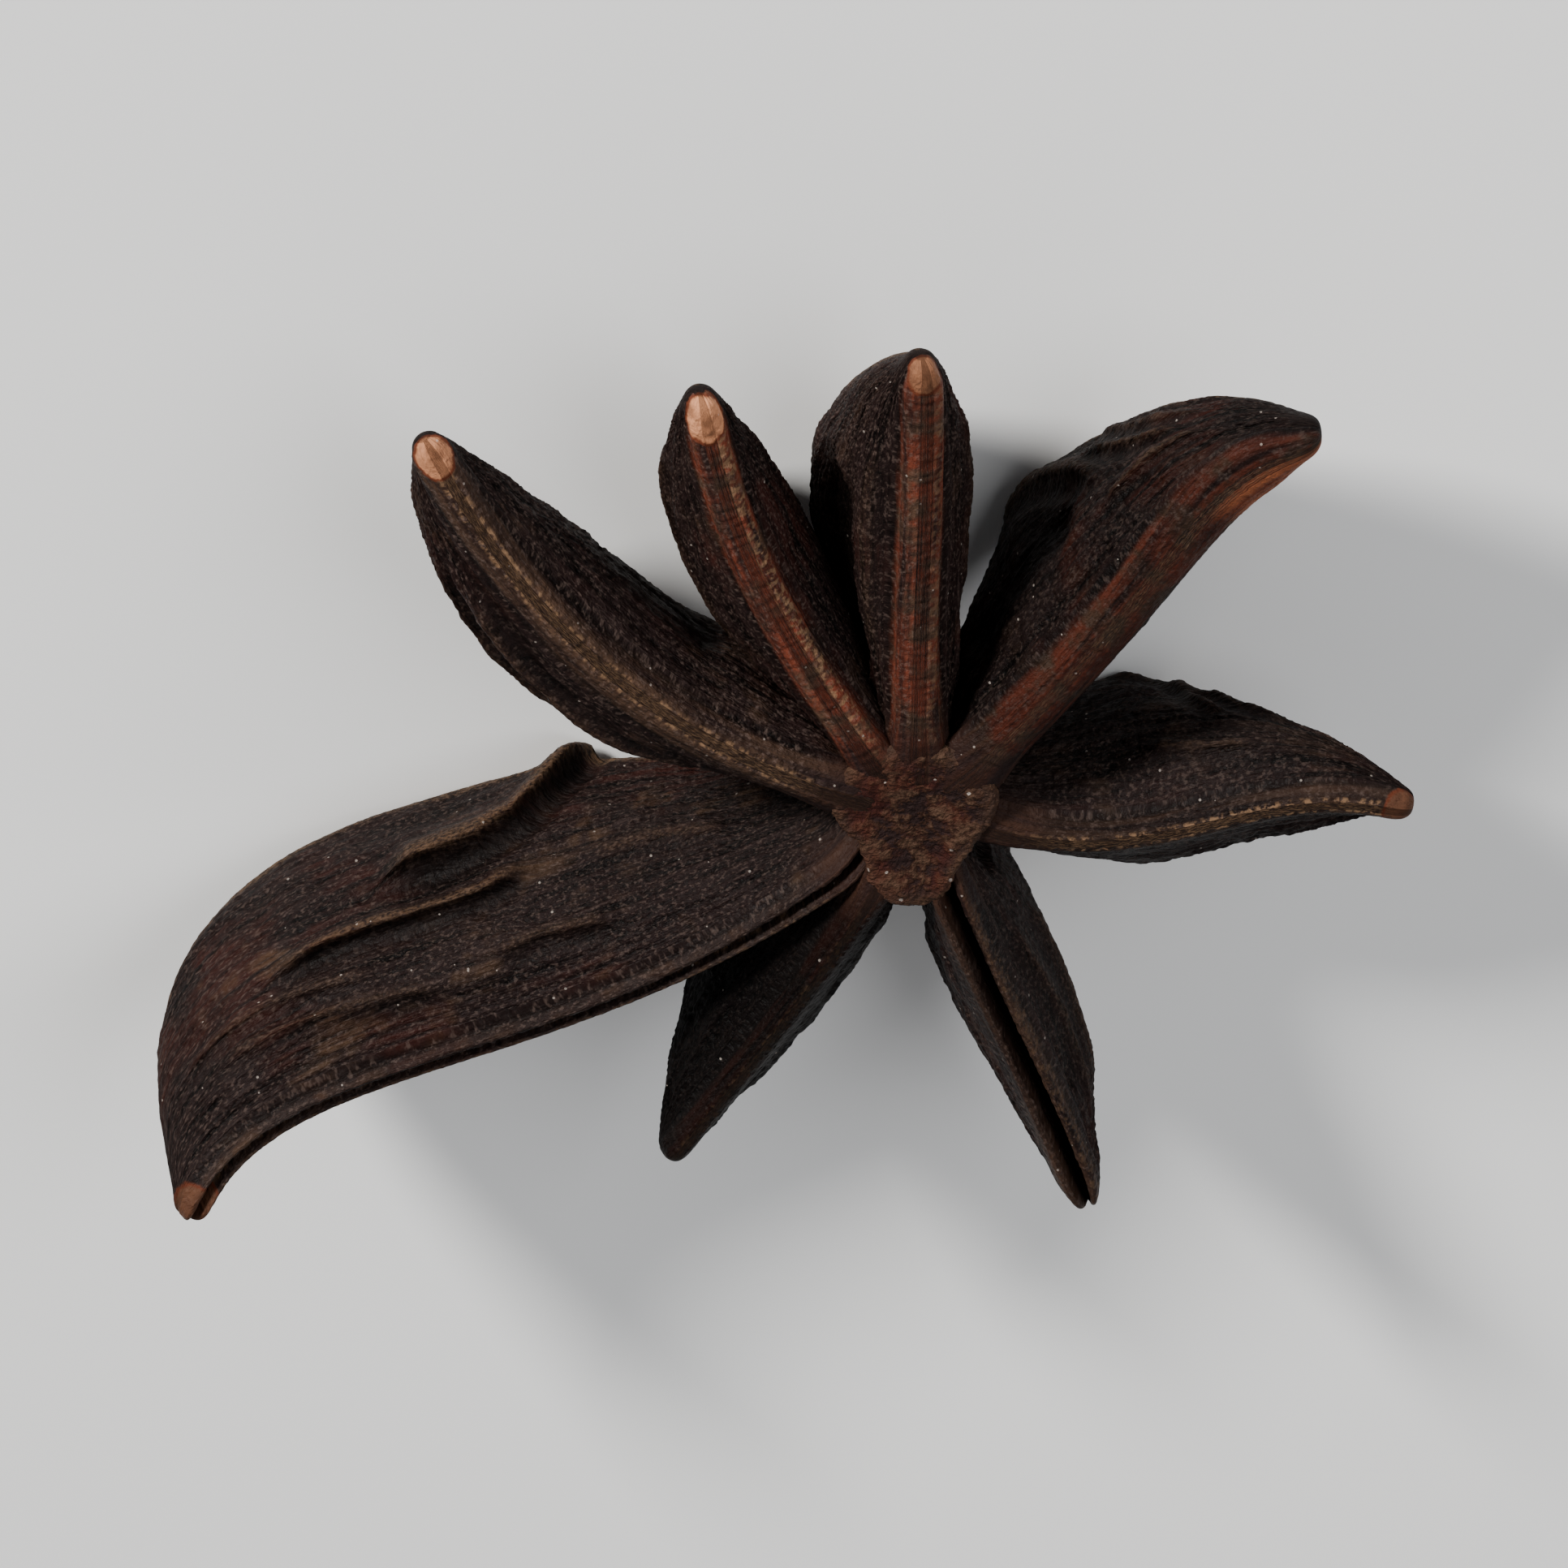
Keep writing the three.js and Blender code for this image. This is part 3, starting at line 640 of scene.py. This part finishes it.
def writeSurfaceMaps(piece, values):
    # UVMap runs once over the whole skin. strands and stitches carry the noises.
    mesh = piece.data
    along, down = readAttribute(piece, "along"), readAttribute(piece, "down")
    side = readAttribute(piece, "side")
    x, y = skinPlaces(piece, values)
    corners = np.empty(len(mesh.loops), np.int32)
    mesh.loops.foreach_get("vertex_index", corners)
    starts = np.empty(len(mesh.polygons), np.int32)
    mesh.polygons.foreach_get("loop_start", starts)
    faceSide = np.sign(np.add.reduceat(side[corners], starts))
    faceSide = np.repeat(faceSide, np.diff(np.append(starts, len(corners))))
    u = along[corners] / along.max()
    v = 0.5 + 0.49 * faceSide * down[corners]
    mesh.uv_layers.new(name="UVMap").data.foreach_set("uv", np.c_[u, v].ravel())
    around = y[corners] * faceSide / 2
    start = values["azimuth"] * 3.7
    strands = np.c_[x[corners] * skinRelief["stretch"] / 2 + start, around]
    mesh.uv_layers.new(name="strands").data.foreach_set("uv", strands.ravel())
    stitches = np.c_[x[corners] / 2 + start, around * 0.35]
    mesh.uv_layers.new(name="stitches").data.foreach_set("uv", stitches.ravel())
    strand = mesh.attributes.new("strand", "FLOAT_VECTOR", "POINT")
    strand.data.foreach_set("vector", np.c_[x, y, side * 9 + start].ravel().astype(np.float32))


def noiseTexture(name, size, depth, hard=False):
    texture = bpy.data.textures.new(name, "CLOUDS")
    texture.noise_scale = size
    texture.noise_depth = depth
    texture.noise_type = "HARD_NOISE" if hard else "SOFT_NOISE"
    texture.noise_basis = "ORIGINAL_PERLIN"
    return texture


def pushSkin(piece, texture, strength, group, layer=None):
    # with no layer the noise is solid, in the object's own space
    kind = {"texture_coords": "UV", "uv_layer": layer} if layer else {"texture_coords": "LOCAL"}
    applyModifier(
        piece, "DISPLACE", texture=texture, strength=strength, mid_level=0.5, vertex_group=group, **kind)


def wrinkleSkin(piece, values, textures):
    # the relief fades out near the band, the keel and both ends
    along, down = readAttribute(piece, "along"), readAttribute(piece, "down")
    flank = smooth((down - section["bandEnd"]) / 0.05) * smooth((1.0 - down) / 0.1)
    ends = smooth(along * 8) * smooth((1.0 - along) * 14)
    folded, paintedCrestHighlight, paintedCreaseShade, paintedHollowShade = np.zeros((4, len(along)))
    for given in values["folds"]:
        fold = {**usualFold, **given}
        crest, crease = foldWeights(piece, values, fold)
        # a crest's painted highlight shows fully from 0.5 mm of height, and the painted shade of a crease
        # from 0.33 mm of depth; a fold's painted shade follows its share dark
        if fold["height"] > 0:
            folded = np.maximum(folded, np.maximum(crest, crease))
            paintedCrestHighlight = np.maximum(paintedCrestHighlight, crest ** 3 * min(fold["height"] * 2, 1))
        paintedCreaseShade = np.maximum(paintedCreaseShade, crease * min(fold["crease"] * 3, 1))
        paintedHollowShade = np.maximum(paintedHollowShade, crest * fold["dark"])
        applyModifier(
            piece, "DISPLACE", strength=fold["height"] * mm, mid_level=0,
            vertex_group=addWeights(piece, "crest", crest))
        if fold["crease"]:
            applyModifier(
                piece, "DISPLACE", strength=-fold["crease"] * mm, mid_level=0,
                vertex_group=addWeights(piece, "crease", crease))
    writeAttribute(piece, "paintedCrestHighlight", paintedCrestHighlight)
    writeAttribute(piece, "paintedCreaseShade", paintedCreaseShade)
    writeAttribute(piece, "paintedHollowShade", paintedHollowShade)
    smoothPoints, smoothNormals = pointsOf(piece), normalsOf(piece)
    # strands are faint on folds, and the grain is half as high on the band and fades at the nose
    addWeights(piece, "flank", flank * ends)
    addWeights(piece, "strands", flank * ends * (1 - 0.8 * folded))
    addWeights(piece, "skin", smooth((1.02 - along) * 30) * (0.5 + 0.5 * flank))
    addWeights(piece, "band", smooth((0.06 - down) / 0.03) * ends)
    pushSkin(piece, textures["crumple"], skinRelief["crumple"], "flank")
    pushSkin(piece, textures["wrinkle"], skinRelief["wrinkle"], "strands", "strands")
    pushSkin(piece, textures["grain"], skinRelief["grain"], "skin")
    pushSkin(piece, textures["stitch"], skinRelief["stitch"], "band", "stitches")
    rise = ((pointsOf(piece) - smoothPoints) * smoothNormals).sum(1)
    writeAttribute(piece, "relief", rise / skinRelief["reliefUnit"])
    piece.vertex_groups.clear()


def paintMasks(piece, values):
    along, down = readAttribute(piece, "along"), readAttribute(piece, "down")
    side = readAttribute(piece, "side")
    points = pointsOf(piece)
    apart = np.linalg.norm(points - seamPlaces(values, along), axis=1) / mm
    shift, width, share = values["beads"]
    onLip = down < section["lipShare"]
    beads = smooth((width - np.abs(apart * side - shift)) / 0.1) * onLip * share
    scar = np.zeros(len(along))
    if values["scar"]:
        at, reach, wide = values["scar"]
        ahead = ((1 - along) * values["length"] - at) / reach
        # an oval that is full up to 0.7 of its half axes and fades out by 1.2 of them
        scar = smooth((1.2 - np.hypot(ahead, apart / wide)) / 0.5)
    # the hub is within 4 mm of the axis and above 5.7 mm
    radius = np.hypot(points[:, 0], points[:, 1]) / mm
    hub = smooth((4.0 - radius) / 1.6) * smooth((points[:, 2] / mm - 5.7) / 0.8)
    writeAttribute(piece, "band", smooth((section["bandEnd"] - down) / 0.03))
    writeAttribute(piece, "beads", beads)
    writeAttribute(piece, "scar", scar)
    writeAttribute(piece, "hub", hub)
    # the torn skin is on one flank, beyond 0.78 of the length, and the rim is a pale line along the
    # keel, a painted highlight
    writeAttribute(piece, "torn", values["torn"] * smooth((along - 0.78) / 0.08) * (side < 0))
    writeAttribute(piece, "rim", smooth((down - 0.93) / 0.05))


def pressFlat(piece):
    # the bellies are flat where they rest
    makeActive(piece)
    bpy.ops.object.mode_set(mode="EDIT")
    pick(piece, lambda point, form: point.co.z < 0)
    bpy.ops.transform.resize(value=(1, 1, 0), center_override=(0, 0, 0))
    bpy.ops.object.mode_set(mode="OBJECT")


def finishPiece(piece, material):
    makeActive(piece)
    bpy.ops.object.shade_smooth()
    piece.data.materials.clear()
    piece.data.materials.append(material)
    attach(piece, "root")
    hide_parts("star_pod")


def buildCarpel(name, values, textures, groups):
    piece = drawRing(name, values)
    drawOut(piece, values)
    poseStations(piece, values)
    applyModifier(piece, "SUBSURF", levels=section["smoothing"], render_levels=section["smoothing"])
    writeSurfaceMaps(piece, values)
    paintMasks(piece, values)
    wrinkleSkin(piece, values, textures)
    pressFlat(piece)
    finishPiece(piece, huskMaterial(name + "Husk", values, groups))
    print(name, len(piece.data.vertices), "points")


def rimAt(turn):
    degrees, reach = zip(*columnShape["rim"])
    return float(np.interp(math.degrees(turn) % 360, degrees + (360,), reach + (reach[0],))) * mm


def buildColumn(textures, groups):
    values = columnShape
    top, wide = pod["seamHeight"], values["waistRim"]
    steps = [(share * values["stalk"], height * mm) for share, height in values["foot"]]
    steps += [(share * wide, height * mm) for share, height in values["waist"]]
    steps += [(share * wide, top + rise * mm) for share, rise in values["dish"]]
    deselectAll()
    bpy.ops.mesh.primitive_circle_add(vertices=values["sides"], radius=steps[0][0], fill_type="NGON")
    piece = bpy.context.object
    piece.name = piece.data.name = "column"
    bpy.ops.object.mode_set(mode="EDIT")
    bpy.ops.mesh.select_all(action="SELECT")
    for before, now in zip(steps, steps[1:]):
        bpy.ops.mesh.extrude_region_move(TRANSFORM_OT_translate={"value": (0, 0, now[1] - before[1])})
        ratio = now[0] / before[0]
        bpy.ops.transform.resize(value=(ratio, ratio, 1), center_override=(0, 0, now[1]))
    # each upright row of points above 4 mm is scaled to the rim. The rows are 5 degrees apart.
    nearly = math.cos(math.radians(2))
    for i in range(values["sides"]):
        turn = 2 * math.pi * i / values["sides"]
        reach = rimAt(turn) / wide
        aim = Vector((math.cos(turn), math.sin(turn)))
        pick(piece, lambda point, form: point.co.z > 4 * mm and point.co.xy.normalized().dot(aim) > nearly)
        bpy.ops.transform.resize(value=(reach, reach, 1), center_override=(0, 0, top))
    bpy.ops.mesh.select_all(action="SELECT")
    bpy.ops.mesh.normals_make_consistent(inside=False)
    bpy.ops.object.mode_set(mode="OBJECT")
    applyModifier(piece, "SUBSURF", levels=3, render_levels=3)
    makeActive(piece)
    bpy.ops.object.mode_set(mode="EDIT")
    bpy.ops.mesh.select_all(action="SELECT")
    bpy.ops.uv.smart_project(angle_limit=math.radians(60), island_margin=0.01)
    bpy.ops.object.mode_set(mode="OBJECT")
    piece.data.uv_layers[0].name = "UVMap"
    # the relief sets in above 5.5 mm, and the rim is the outer 0.3 of the top
    points = pointsOf(piece)
    high = smooth((points[:, 2] / mm - 5.5) / 1.0)
    group = addWeights(piece, "top", high)
    smoothPoints, smoothNormals = points, normalsOf(piece)
    for key in ("crumple", "grain"):
        applyModifier(
            piece, "DISPLACE", texture=textures["column" + key.title()], texture_coords="LOCAL",
            strength=values[key], mid_level=0.5, vertex_group=group)
    rise = ((pointsOf(piece) - smoothPoints) * smoothNormals).sum(1)
    writeAttribute(piece, "relief", rise / skinRelief["reliefUnit"])
    turns = np.arctan2(points[:, 1], points[:, 0])
    share = np.hypot(points[:, 0], points[:, 1]) / np.array([rimAt(turn) for turn in turns])
    writeAttribute(piece, "rim", smooth((share - 0.7) / 0.25) * high)
    piece.vertex_groups.clear()
    finishPiece(piece, columnMaterial(groups))
    print("column", len(piece.data.vertices), "points")


def fill(tree, node, inputs):
    # an input takes a value, a colour or another node's output
    for key, value in inputs.items():
        if isinstance(value, bpy.types.NodeSocket):
            tree.links.new(value, node.inputs[key])
        elif isinstance(value, tuple):
            node.inputs[key].default_value = (*value, 1)
        else:
            node.inputs[key].default_value = value
    return node


def addNode(tree, kind, inputs=None, **settings):
    node = tree.nodes.new(kind)
    for key, value in settings.items():
        setattr(node, key, value)
    return fill(tree, node, inputs or {})


def attribute(tree, name, output="Fac"):
    return addNode(tree, "ShaderNodeAttribute", attribute_name=name).outputs[output]


def calculate(tree, operation, a, b=0.0, c=0.0):
    return addNode(tree, "ShaderNodeMath", {0: a, 1: b, 2: c}, operation=operation).outputs[0]


def product(tree, first, *others):
    for other in others:
        first = calculate(tree, "MULTIPLY", first, other)
    return first


def between(tree, value, low, high):
    # 0 below low, 1 above high, smooth between
    return addNode(
        tree, "ShaderNodeMapRange", {"Value": value, "From Min": low, "From Max": high},
        interpolation_type="SMOOTHSTEP").outputs["Result"]


def mixColour(tree, share, a, b):
    return addNode(tree, "ShaderNodeMix", {0: share, 6: a, 7: b}, data_type="RGBA").outputs[2]


def shaded(name, share):
    return tuple(part * share for part in palette[name])


def newGroup(name, inputs, outputs):
    tree = bpy.data.node_groups.new(name, "ShaderNodeTree")
    for key, kind in inputs.items():
        tree.interface.new_socket(key, in_out="INPUT", socket_type="NodeSocket" + kind)
    for key, kind in outputs.items():
        tree.interface.new_socket(key, in_out="OUTPUT", socket_type="NodeSocket" + kind)
    return tree, tree.nodes.new("NodeGroupInput").outputs, tree.nodes.new("NodeGroupOutput").inputs


def useGroup(tree, group, inputs):
    return addNode(tree, "ShaderNodeGroup", inputs, node_tree=group).outputs[0]


def strandGroup():
    # noise drawn out along the carpel
    tree, given, made = newGroup(
        "strandNoise", {"Place": "Vector", "Along": "Float", "Across": "Float", "Detail": "Float"},
        {"Value": "Float"})
    scale = addNode(
        tree, "ShaderNodeCombineXYZ", {"X": given["Along"], "Y": given["Across"], "Z": 1.0})
    place = addNode(
        tree, "ShaderNodeVectorMath", {0: given["Place"], 1: scale.outputs[0]}, operation="MULTIPLY")
    noise = addNode(
        tree, "ShaderNodeTexNoise",
        {"Vector": place.outputs[0], "Scale": 1.0, "Detail": given["Detail"], "Roughness": 0.6})
    tree.links.new(noise.outputs["Fac"], made["Value"])
    return tree


def patchGroup():
    # soft patches of the object's own space, with Size in mm
    tree, given, made = newGroup(
        "patches", {"Size": "Float", "Low": "Float", "High": "Float", "Shift": "Float"},
        {"Mask": "Float"})
    place = addNode(tree, "ShaderNodeTexCoord").outputs["Object"]
    moved = addNode(
        tree, "ShaderNodeVectorMath", {0: place, 1: given["Shift"]}, operation="ADD")
    scale = calculate(tree, "DIVIDE", 1 / mm, given["Size"])
    noise = addNode(
        tree, "ShaderNodeTexNoise",
        {"Vector": moved.outputs[0], "Scale": scale, "Detail": 3.0, "Roughness": 0.6})
    mask = between(tree, noise.outputs["Fac"], given["Low"], given["High"])
    tree.links.new(mask, made["Mask"])
    return tree


def speckGroup():
    # small round specks, one in some of the cells, with Cell in mm
    tree, given, made = newGroup(
        "specks", {"Cell": "Float", "Size": "Float", "Share": "Float"}, {"Mask": "Float"})
    place = addNode(tree, "ShaderNodeTexCoord").outputs["Object"]
    scale = calculate(tree, "DIVIDE", 1 / mm, given["Cell"])
    cells = addNode(tree, "ShaderNodeTexVoronoi", {"Vector": place, "Scale": scale})
    small = calculate(tree, "LESS_THAN", cells.outputs["Distance"], given["Size"])
    chosen = addNode(tree, "ShaderNodeSeparateColor", {"Color": cells.outputs["Color"]})
    few = calculate(tree, "LESS_THAN", chosen.outputs["Red"], given["Share"])
    tree.links.new(product(tree, small, few), made["Mask"])
    return tree


def toneGroup():
    # the skin's tone from its relief and two noises: painted shade, near black, in the creases and a
    # painted greyish highlight on crests. The level is in units of the attribute relief.
    tree, given, made = newGroup(
        "huskToneAndReliefShade",
        {"Relief": "Float", "Grain": "Float", "Fine": "Float",
         "Crease": "Color", "Husk": "Color", "Crest": "Color"},
        {"Color": "Color"})
    level = given["Relief"]
    for key, strength in toneNoise.items():
        level = calculate(tree, "ADD", level, product(
            tree, calculate(tree, "SUBTRACT", given[key], 0.5), strength))
    dark = between(tree, level, -1.7, 0.1)
    light = product(tree, between(tree, level, 0.1, 2.2), mixShares["crest"])
    tone = mixColour(tree, dark, given["Crease"], given["Husk"])
    tone = mixColour(tree, light, tone, given["Crest"])
    tree.links.new(tone, made["Color"])
    return tree


def patch(tree, groups, name, shift=0.0):
    values = patches[name]
    return useGroup(tree, groups["patch"], {**values, "Shift": values["Shift"] + shift})


def newMaterial(name):
    material = bpy.data.materials.new(name)
    material.use_nodes = True
    tree = material.node_tree
    tree.nodes.clear()
    out = tree.nodes.new("ShaderNodeOutputMaterial")
    shader = tree.nodes.new("ShaderNodeBsdfPrincipled")
    tree.links.new(shader.outputs["BSDF"], out.inputs["Surface"])
    return material, tree, shader


def fillShader(tree, shader, colour, roughness, height, bump):
    relief = addNode(tree, "ShaderNodeBump", {"Height": height, **bump})
    fill(tree, shader, {
        "Base Color": colour, "Roughness": roughness, "Specular IOR Level": specularLevel,
        "Normal": relief.outputs["Normal"]})


def bandTone(tree, values, band, grain, streak, patchy):
    # the band beside the seam: its colour, streaked and patchy, and a mask with a ragged edge
    # the band's colours are dimmed by the carpel's shade too, in part painted shade
    dim = values["shade"]
    bandColour = shaded(bandColours[values["lip"]], dim)
    tone = mixColour(tree, patchy, shaded("tan", 1.3 * dim), bandColour)
    tone = mixColour(tree, streak, shaded("husk", dim), tone)
    ragged = calculate(tree, "MULTIPLY_ADD", grain, 1.6, calculate(tree, "SUBTRACT", band, 0.8))
    edge = between(tree, band, 0.02, 0.3)
    return tone, product(tree, between(tree, ragged, 0.2, 0.8), edge, values["lipMix"])


def scarTone(tree, values, blotch):
    # the scar at the end: its colour, a red rim round a blotchy face, and its mask
    scar, pale = attribute(tree, "scar"), values["pale"]
    rough = calculate(tree, "SUBTRACT", calculate(tree, "MULTIPLY_ADD", blotch, 0.3, scar), 0.15)
    rough = product(tree, rough, between(tree, scar, 0.0, 0.2))
    light = 0.6 + 0.4 * pale
    share = calculate(tree, "MULTIPLY_ADD", blotch, pale / 2, pale / 2)
    face = mixColour(tree, share, shaded("scarBase", light), shaded("scar", light))
    tone = mixColour(tree, between(tree, rough, 0.45, 0.85), shaded("scarRim", light), face)
    return tone, between(tree, rough, 0.05, 0.4)


def huskMaterial(name, values, groups):
    material, tree, shader = newMaterial(name)
    # shade dims most of this carpel's colours: partly the husk's own tone, partly painted shade
    dim, shift = values["shade"], values["azimuth"] * 0.01
    place = attribute(tree, "strand", "Vector")
    grain, fine, dots, bead = (
        useGroup(tree, groups["strand"], {"Place": place, **noise}) for noise in strandNoises.values())
    uneven = between(tree, grain, 0.35, 0.65)
    streak = between(tree, grain, 0.32, 0.62)
    band = attribute(tree, "band")
    # the base: painted shade in low places and a painted highlight on raised ones, from the relief, over
    # the husk's own colour
    colour = useGroup(tree, groups["tone"], {
        "Relief": attribute(tree, "relief"), "Grain": grain, "Fine": fine,
        "Crease": shaded("crease", dim), "Husk": shaded("husk", dim), "Crest": shaded("crest", dim)})

    # each layer is a colour and its mask, and lies over the ones before it
    red = product(tree, patch(tree, groups, "red", shift), uneven, values["red"])
    ochre = product(tree, patch(tree, groups, "ochre", shift), uneven, values["ochre"])
    bandSkin, bandMask = bandTone(tree, values, band, grain, streak, patch(tree, groups, "band", shift))
    # a near black line along the band's edge: painted shade where the band meets the flank
    bandEdge = product(tree, band, calculate(tree, "MULTIPLY_ADD", band, -2.6, 2.6))
    granules = product(tree, between(tree, dots, 0.50, 0.70), mixShares["granule"])
    # fold crests get a tan painted highlight
    paintedCrestHighlight = attribute(tree, "paintedCrestHighlight")
    crest = product(tree, paintedCrestHighlight, between(tree, dots, 0.3, 0.6), mixShares["paintedCrestHighlight"])
    torn = product(tree, attribute(tree, "torn"), mixShares["torn"])
    # near black painted shade in the creases beside folds and on sunken folds
    dark = calculate(tree, "MAXIMUM", attribute(tree, "paintedCreaseShade"), attribute(tree, "paintedHollowShade"))
    beads = product(tree, between(tree, bead, 0.46, 0.62), attribute(tree, "beads"))
    # a pale line along the keel: painted highlight
    keel = product(tree, attribute(tree, "rim"), mixShares["keel"], between(tree, dots, 0.35, 0.6))
    hub = product(tree, attribute(tree, "hub"), mixShares["hub"])
    scarSkin, scarMask = scarTone(tree, values, patch(tree, groups, "scar"))
    # pale specks: flecks of the skin, partly painted glints
    specks = product(tree, useGroup(tree, groups["speck"], speckShapes["husk"]), mixShares["speck"])
    layers = [
        (red, shaded("red", dim)),
        (ochre, shaded("ochre", dim)),
        (bandMask, bandSkin),
        (bandEdge, palette["crease"]),
        (granules, shaded("granule", dim)),
        (crest, shaded("ochre", 0.7)),
        (torn, mixColour(tree, streak, palette["red"], palette["tornSkin"])),
        (product(tree, dark, mixShares["dark"]), palette["crease"]),
        (beads, shaded("bead", 0.5 + 0.5 * dim)),
        (keel, shaded("bead", 0.6)),
        (hub, mixColour(tree, uneven, palette["husk"], palette["plateau"])),
        (scarMask, scarSkin),
        (specks, palette["speck"]),
    ]
    for mask, tone in layers:
        colour = mixColour(tree, mask, colour, tone)
    roughness = calculate(tree, "MULTIPLY_ADD", fine, 0.4, 0.36)
    height = calculate(tree, "MULTIPLY_ADD", fine, 0.8, grain)
    fillShader(tree, shader, colour, roughness, height, {"Strength": 0.9, "Distance": 0.16 * mm})
    return material


def columnMaterial(groups):
    material, tree, shader = newMaterial("columnHusk")
    coarse, fine = (patch(tree, groups, key) for key in ("coarse", "fine"))
    # the column's tone: painted shade in its dips and a painted tan highlight on its bumps, from the relief
    colour = useGroup(tree, groups["tone"], {
        "Relief": attribute(tree, "relief"), "Grain": coarse, "Fine": fine,
        "Crease": palette["husk"], "Husk": palette["plateau"], "Crest": palette["tan"]})
    # pale specks on the column too, partly painted glints
    specks = useGroup(tree, groups["speck"], speckShapes["column"])
    layers = [
        (product(tree, patch(tree, groups, "columnRed"), mixShares["columnRed"]), "red"),
        (product(tree, attribute(tree, "rim"), mixShares["columnRim"]), "tan"),
        (product(tree, specks, mixShares["columnSpeck"]), "speck"),
    ]
    for mask, tone in layers:
        colour = mixColour(tree, mask, colour, palette[tone])
    height = calculate(tree, "ADD", coarse, fine)
    fillShader(tree, shader, colour, 0.66, height, {"Strength": 0.8, "Distance": 0.08 * mm})
    return material


def buildStage():
    material, tree, shader = newMaterial("floorPaper")
    fill(tree, shader, {"Base Color": (0.82, 0.82, 0.81), "Roughness": 0.8})
    deselectAll()
    bpy.ops.mesh.primitive_plane_add(size=4, location=(0, 0, 0))
    floor = bpy.context.object
    floor.name = "floor"
    floor.data.materials.append(material)


def buildLamp(name, values):
    deselectAll()
    bpy.ops.object.light_add(type="AREA", location=values["place"])
    lamp = bpy.context.object
    lamp.name = name
    lamp.data.shape = "DISK"
    lamp.data.size = values["size"]
    lamp.data.energy = values["power"]
    lamp.data.color = values["colour"]
    aim = Vector((0, 0, 4 * mm)) - Vector(values["place"])
    lamp.rotation_euler = aim.to_track_quat("-Z", "Y").to_euler()


def buildSky():
    world = bpy.data.worlds.new("studio")
    world.use_nodes = True
    background = world.node_tree.nodes["Background"]
    fill(world.node_tree, background, {"Color": skyColour, "Strength": skyStrength})
    bpy.context.scene.world = world


def buildCamera():
    tilt = math.radians(view["tilt"])
    right = Vector((1, 0, 0))
    up = Vector((0, math.cos(tilt), -math.sin(tilt)))
    back = Vector((0, math.sin(tilt), math.cos(tilt)))
    hub = Vector((0, 0, pod["seamHeight"]))
    target = hub + right * view["aim"][0] + up * view["aim"][1]
    deselectAll()
    bpy.ops.object.camera_add()
    camera = bpy.context.object
    camera.data.lens = view["focal"]
    camera.data.sensor_width = view["sensor"]
    camera.data.clip_start = 0.01
    distance = view["frameWidth"] * view["focal"] / view["sensor"]
    turned = Matrix((right, up, back)).transposed().to_4x4()
    camera.matrix_world = Matrix.Translation(target + back * distance) @ turned
    bpy.context.scene.camera = camera


print("stage")
buildStage()
buildCamera()
buildSky()
for lampName, lampValues in lamps.items():
    buildLamp(lampName, lampValues)

print("shader groups")
shaderGroups = {
    "strand": strandGroup(), "patch": patchGroup(), "speck": speckGroup(), "tone": toneGroup(),
}
noises = {
    "crumple": noiseTexture("crumpleNoise", skinRelief["crumpleWidth"], 1),
    "wrinkle": noiseTexture("wrinkleNoise", skinRelief["wrinkleWidth"], 2, hard=True),
    "grain": noiseTexture("grainNoise", skinRelief["grainWidth"], 1),
    "stitch": noiseTexture("stitchNoise", skinRelief["stitchWidth"], 1),
    "columnCrumple": noiseTexture("columnCrumpleNoise", columnShape["crumpleWidth"], 2),
    "columnGrain": noiseTexture("columnGrainNoise", columnShape["grainWidth"], 2, hard=True),
}

print("carpels")
for carpelName, carpelValues in carpels.items():
    buildCarpel(carpelName, {**usualCarpel, **carpelValues}, noises, shaderGroups)
print("column")
buildColumn(noises, shaderGroups)
